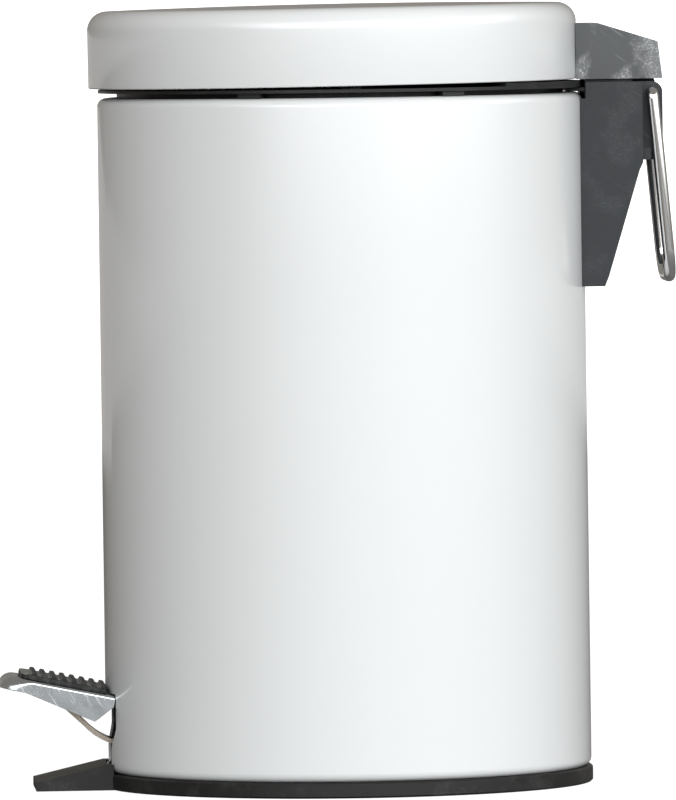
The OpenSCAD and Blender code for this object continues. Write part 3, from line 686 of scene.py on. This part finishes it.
loop_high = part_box("carry_loop")[1]
hinge = next(Vector(j["pos_m"]) for j in frame["joints"] if j["name"] == "loop_swing")
loop_wire_r = 2 * MM
loop_x = loop_high.x - loop_wire_r
loop_lean = math.radians(5.1)
loop_l = 61.7 * MM
loop_end = 11.4 * MM
loop_place = Matrix.Translation(hinge) @ Matrix.Rotation(loop_lean, 4, "X")
loop_path = [((side * x, 0, z), bend) for side, x, z, bend in (
    (1, loop_end, 0, 0.0), (1, loop_x, 0, 2.25 * MM), (1, loop_x, -loop_l, 9 * MM),
    (-1, loop_x, -loop_l, 9 * MM), (-1, loop_x, 0, 2.25 * MM), (-1, loop_end, 0, 0.0))]
loop = wire_piece("carry_loop_wire", [(tuple(loop_place @ Vector(p)), bend) for p, bend in loop_path],
                  loop_wire_r, chrome())
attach(loop, "loop")
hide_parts("carry_loop")

# ---------------------------------------------------------------- floor, light and camera
# A plain pale floor, browner towards the pedal's side in its bounce light only, in a dim studio
# room that looks white to the camera, with one large soft light to the right of the camera.

floor_shape = bmesh.new()
bmesh.ops.create_circle(floor_shape, cap_ends=True, segments=96, radius=80)
floor_shape.transform(Matrix.Translation((0, 0, -0.2 * MM)))
floor = piece_from("floor", floor_shape)
floor_paint = Finish("pale floor", "none", 0.7)
floor_x, floor_y = (floor_paint.node("ShaderNodeSeparateXYZ", {}, {"Vector": floor_paint.place}, name)
                    for name in "XY")
pale, brown = (0.25, 0.25, 0.25), (0.11, 0.085, 0.065)
floor_paint.feed("Base Color", floor_paint.mix((floor_y * -1).above(0.05, 0.5), pale, brown))
floor_paint.feed("Emission Color", (1, 1, 1, 1))
seen = floor_paint.node("ShaderNodeLightPath", {}, {}, "Is Camera Ray")
floor_paint.feed("Emission Strength", seen * 0.95 + (floor_x * -1).above(2.5, 3.5) * 0.4)
floor.data.materials.append(floor_paint.material)

world = bpy.data.worlds.new("studio room")
bpy.context.scene.world = world
world.use_nodes = True
room = world.node_tree
direction = grow(room, "ShaderNodeTexCoord", {}, {}, "Generated")
across_x, across_y, upward = (Link(room, grow(room, "ShaderNodeSeparateXYZ", {}, {"Vector": direction}, name))
                              for name in "XYZ")
key_bearing = math.radians(20)
towards_key = across_x * math.cos(key_bearing) + across_y * math.sin(key_bearing)
beside_key = abs(across_y * math.cos(key_bearing) - across_x * math.sin(key_bearing))
key = towards_key.above(0.0, 0.2) * (1 - beside_key.above(0.7, 1.0)) * upward.above(0.0, 0.15)
key = key * (1 - upward.above(0.4, 0.65))
box_bearing, card_bearing = 0.5, -0.75
beside_box = abs(across_y * math.cos(box_bearing) - across_x * math.sin(box_bearing))
light_level = key * 3.65 + (1 - beside_box.above(0.15, 0.22)) * key
dark_card = (across_x * math.cos(card_bearing) + across_y * math.sin(card_bearing)).above(0.88, 0.95)
warm_room = (0.235, 0.22, 0.202, 1)
studio = grow(room, "ShaderNodeBackground", {}, {"Color": warm_room, "Strength": 1 - dark_card * 0.85})
soft_boxes = grow(room, "ShaderNodeBackground", {}, {"Color": (0.97, 0.99, 1, 1), "Strength": light_level})
lit_room = grow(room, "ShaderNodeAddShader", {}, {0: studio, 1: soft_boxes})
white_wall = grow(room, "ShaderNodeBackground", {}, {"Color": (1, 1, 1, 1)})
camera_ray = grow(room, "ShaderNodeLightPath", {}, {}, "Is Camera Ray")
shown = grow(room, "ShaderNodeMixShader", {}, {0: camera_ray, 1: lit_room, 2: white_wall})
room.links.new(shown, room.nodes["World Output"].inputs[0])

camera_data = bpy.data.cameras.new("camera")
camera = bpy.data.objects.new("camera", camera_data)
bpy.context.scene.collection.objects.link(camera)
bpy.context.scene.camera = camera
camera_data.sensor_width = 36
camera_data.lens = 607
camera_data.clip_end = 500
aim = Vector((0, -2 * MM, 128 * MM))
turn, pitch, roll = math.radians(-3), math.radians(2.0), math.radians(-0.785)
back = Vector((math.cos(turn) * math.cos(pitch), math.sin(turn) * math.cos(pitch), math.sin(pitch)))
camera.location = aim + back * 4.5
camera.rotation_mode = "QUATERNION"
camera.rotation_quaternion = (-back).to_track_quat("-Z", "Y") @ Quaternion((0, 0, 1), roll)
bpy.context.scene.view_settings.view_transform = "Standard"
